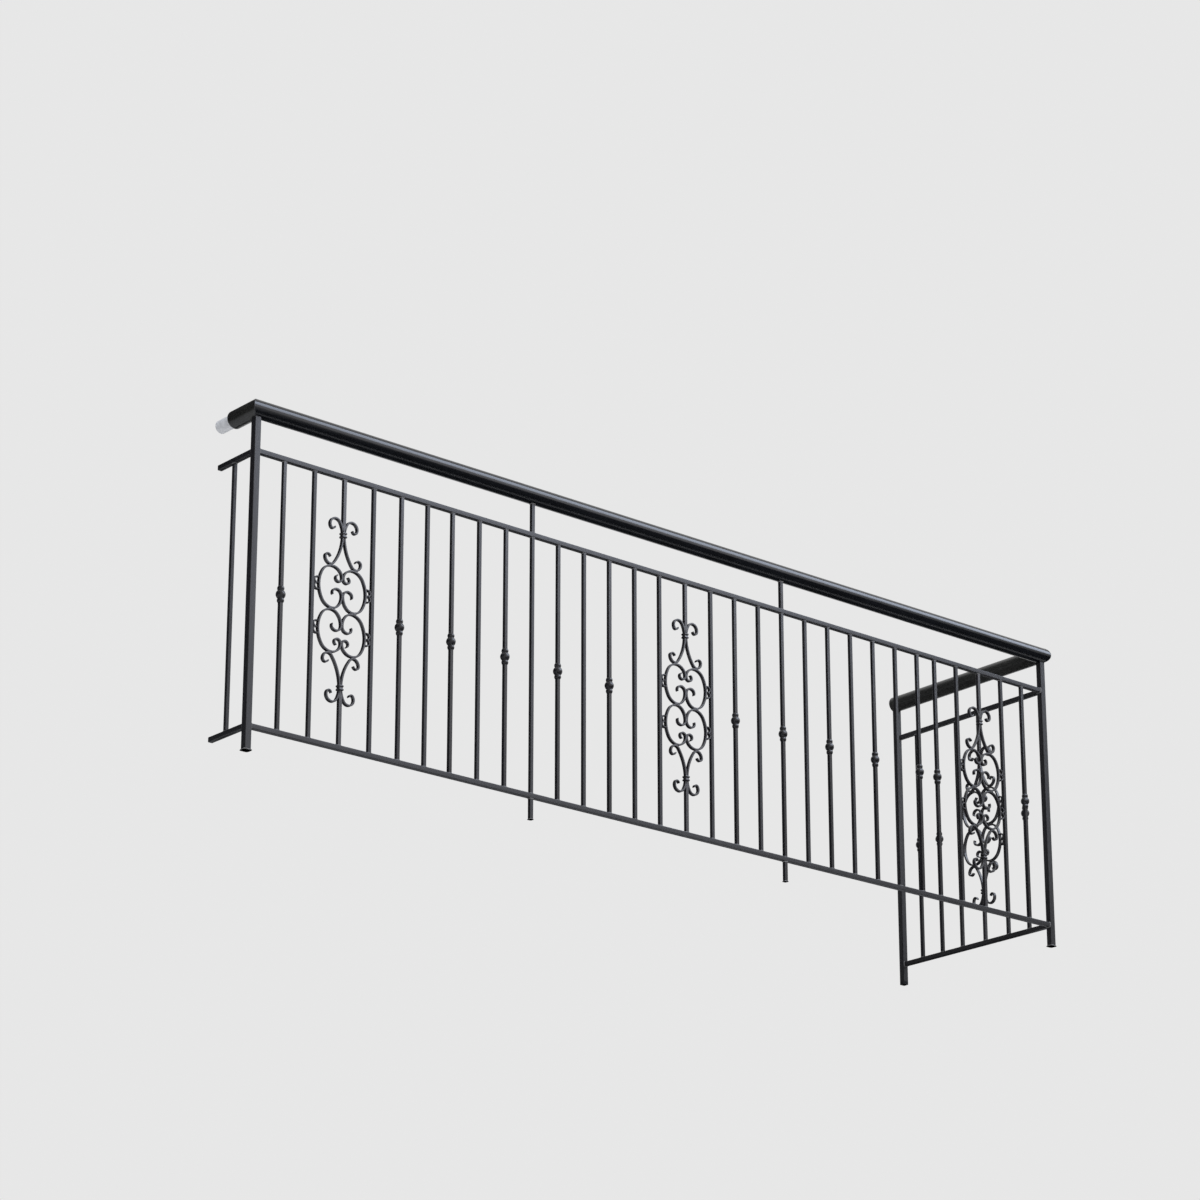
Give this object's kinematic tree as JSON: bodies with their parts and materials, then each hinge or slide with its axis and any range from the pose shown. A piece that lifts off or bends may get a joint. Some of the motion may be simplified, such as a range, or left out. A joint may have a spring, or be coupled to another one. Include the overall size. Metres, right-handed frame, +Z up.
{
  "type": "balcony railing",
  "caption": "Black wrought steel balcony railing with round mitred handrail, square balusters, forged knuckles and scroll panels, long front, full right return, short left return.",
  "frame": {"origin": "middle of the overall box, at the level of the ledge that the feet stand on", "axes": "+X along the front from the short left return to the full right return, +Y towards the building, +Z up"},
  "size_m": [3.475, 0.7596, 1.1],
  "materials": {
    "gloss_handrail": "gloss black paint",
    "black_bars": "semi-gloss black paint",
    "black_scrollwork": "satin black paint on forged bar",
    "pale_stub": "pale grey paint, matt"
  },
  "bodies": {
    "root": {"bottom_rail_front": "black_bars", "bottom_rail_left_return": "black_bars", "bottom_rail_right_return": "black_bars", "corner_post_left": "black_bars", "corner_post_right": "black_bars", "handrail_front": "gloss_handrail", "handrail_left_return": "gloss_handrail", "handrail_right_return": "gloss_handrail", "knuckle_baluster_front_01": "black_bars", "knuckle_baluster_front_05": "black_bars", "knuckle_baluster_front_07": "black_bars", "knuckle_baluster_front_09": "black_bars", "knuckle_baluster_front_11": "black_bars", "knuckle_baluster_front_13": "black_bars", "knuckle_baluster_front_18": "black_bars", "knuckle_baluster_front_22": "black_bars", "knuckle_baluster_front_24": "black_bars", "knuckle_baluster_front_26": "black_bars", "knuckle_baluster_front_27": "black_bars", "knuckle_baluster_front_31": "black_bars", "knuckle_baluster_return_01": "black_bars", "knuckle_baluster_return_05": "black_bars", "knuckle_baluster_return_06": "black_bars", "plain_balusters_left_bay": "black_bars", "plain_balusters_left_return": "black_bars", "plain_balusters_middle_bay": "black_bars", "plain_balusters_right_bay": "black_bars", "plain_balusters_right_return": "black_bars", "scroll_panel_left": "black_scrollwork", "scroll_panel_middle": "black_scrollwork", "scroll_panel_return": "black_scrollwork", "scroll_panel_right": "black_scrollwork", "support_bar_left": "black_bars", "support_bar_right": "black_bars", "upper_rail_front": "black_bars", "upper_rail_left_return": "black_bars", "upper_rail_right_return": "black_bars", "wall_post_right": "black_bars", "wall_stub_left": "pale_stub"}
  },
  "joints": []
}
